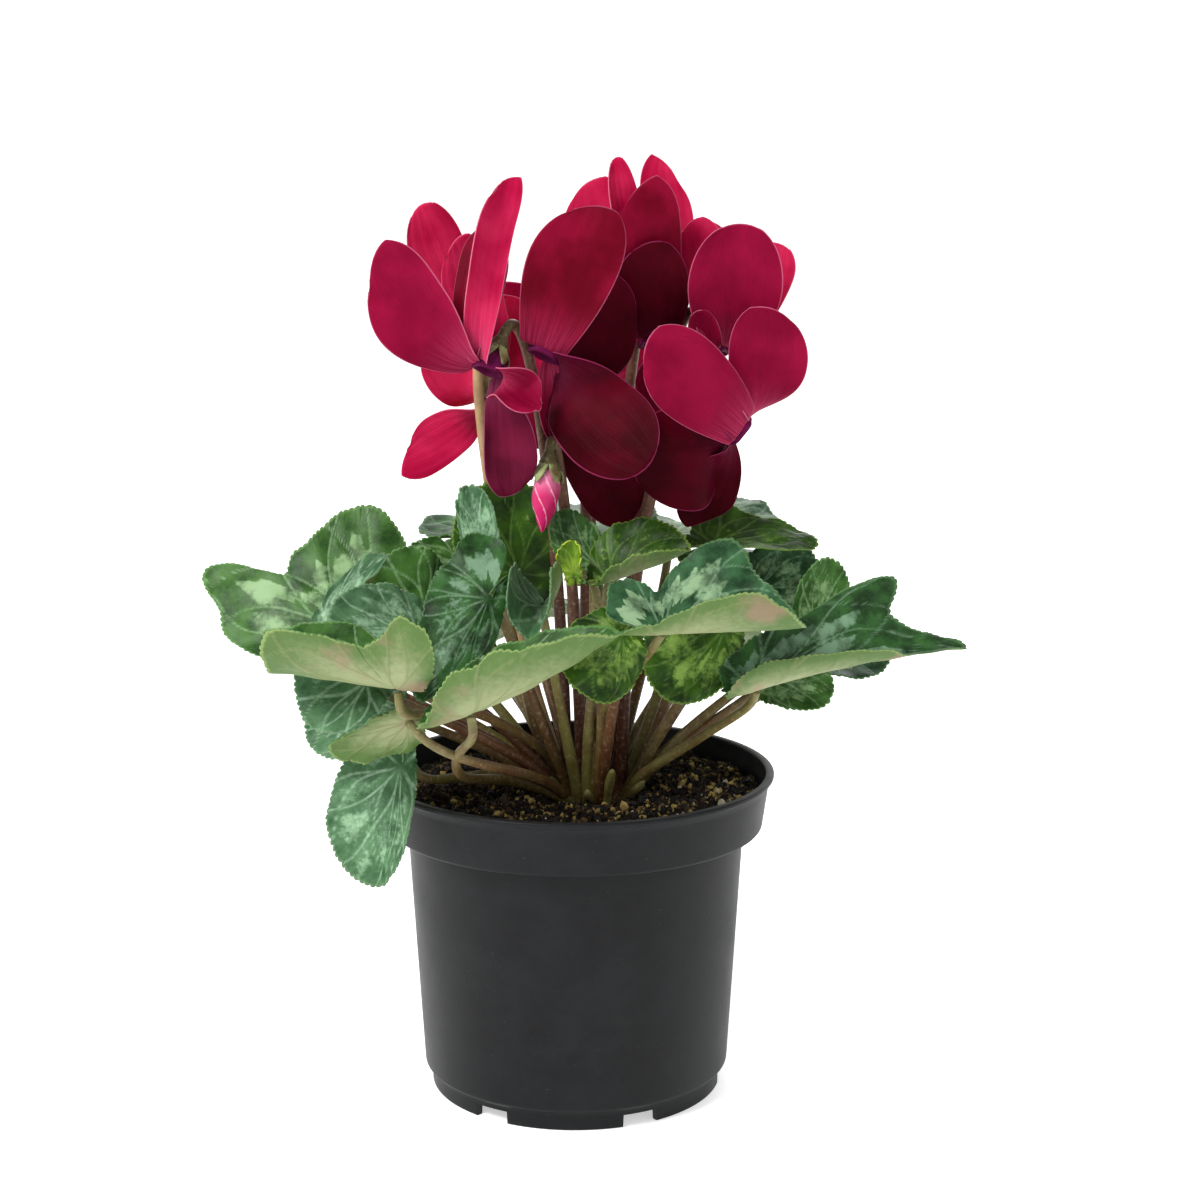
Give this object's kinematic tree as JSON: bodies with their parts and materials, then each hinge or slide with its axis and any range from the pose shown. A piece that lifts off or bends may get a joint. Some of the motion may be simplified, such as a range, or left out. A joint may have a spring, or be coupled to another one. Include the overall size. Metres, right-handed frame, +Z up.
{
  "type": "potted cyclamen",
  "caption": "Flowering cyclamen with marbled heart-shaped leaves and swept-back crimson blooms, in a stepped plastic nursery pot.",
  "frame": {"origin": "on the ground, under the middle of the pot", "axes": "+Z up, -Y towards the side that the picture shows, +X to its right"},
  "size_m": [0.249, 0.1773, 0.3025],
  "materials": {
    "pot": "matt charcoal plastic",
    "soil": "dark crumbly potting soil",
    "tuber": "corky brown skin",
    "stalk": "smooth fleshy stalk, brown-pink",
    "leaf": "waxy marbled leaf",
    "petal": "satin petal, crimson",
    "bud": "satin petal, hot pink"
  },
  "bodies": {
    "root": {"pot": "pot", "tuber": "tuber", "soil": "soil", "leaf_stalks": "stalk", "leaf_far_left": "leaf", "leaf_far_right": "leaf", "leaf_front_trough": "leaf", "leaf_low_left_pale": "leaf", "leaf_left_under_dark": "leaf", "leaf_left_low_grey": "leaf", "leaf_left_trough": "leaf", "leaf_left_oval": "leaf", "leaf_left_rolled": "leaf", "leaf_left_inner_dark": "leaf", "leaf_left_high_edge": "leaf", "leaf_centre_left_big": "leaf", "leaf_upper_grey": "leaf", "leaf_olive_back": "leaf", "leaf_cup": "leaf", "leaf_young": "leaf", "leaf_upright_centre": "leaf", "leaf_centre_right_back": "leaf", "leaf_right_big": "leaf", "leaf_hanging_centre": "leaf", "leaf_hanging_right": "leaf", "leaf_upper_right": "leaf", "leaf_upper_right_grey": "leaf", "leaf_right_dark": "leaf", "leaf_right_bright": "leaf", "leaf_right_under": "leaf", "leaf_right_low": "leaf", "leaf_hanging_front_left": "leaf", "leaf_back_left": "leaf", "leaf_back_left_low": "leaf", "leaf_back_middle": "leaf", "leaf_back_high": "leaf", "leaf_back_right_low": "leaf", "leaf_back_right": "leaf", "leaf_back_upper_left": "leaf", "leaf_back_upper_right": "leaf", "flower_stalk_front_left": "stalk", "bloom_front_left": "petal", "flower_stalk_centre": "stalk", "bloom_centre": "petal", "flower_stalk_back_left": "stalk", "bloom_back_left": "petal", "flower_stalk_top": "stalk", "bloom_top": "petal", "flower_stalk_right_top": "stalk", "bloom_right_top": "petal", "flower_stalk_right_low": "stalk", "bloom_right_low": "petal", "flower_stalk_back": "stalk", "bloom_back": "petal", "flower_stalk_bud": "stalk", "bud": "bud"}
  },
  "joints": []
}
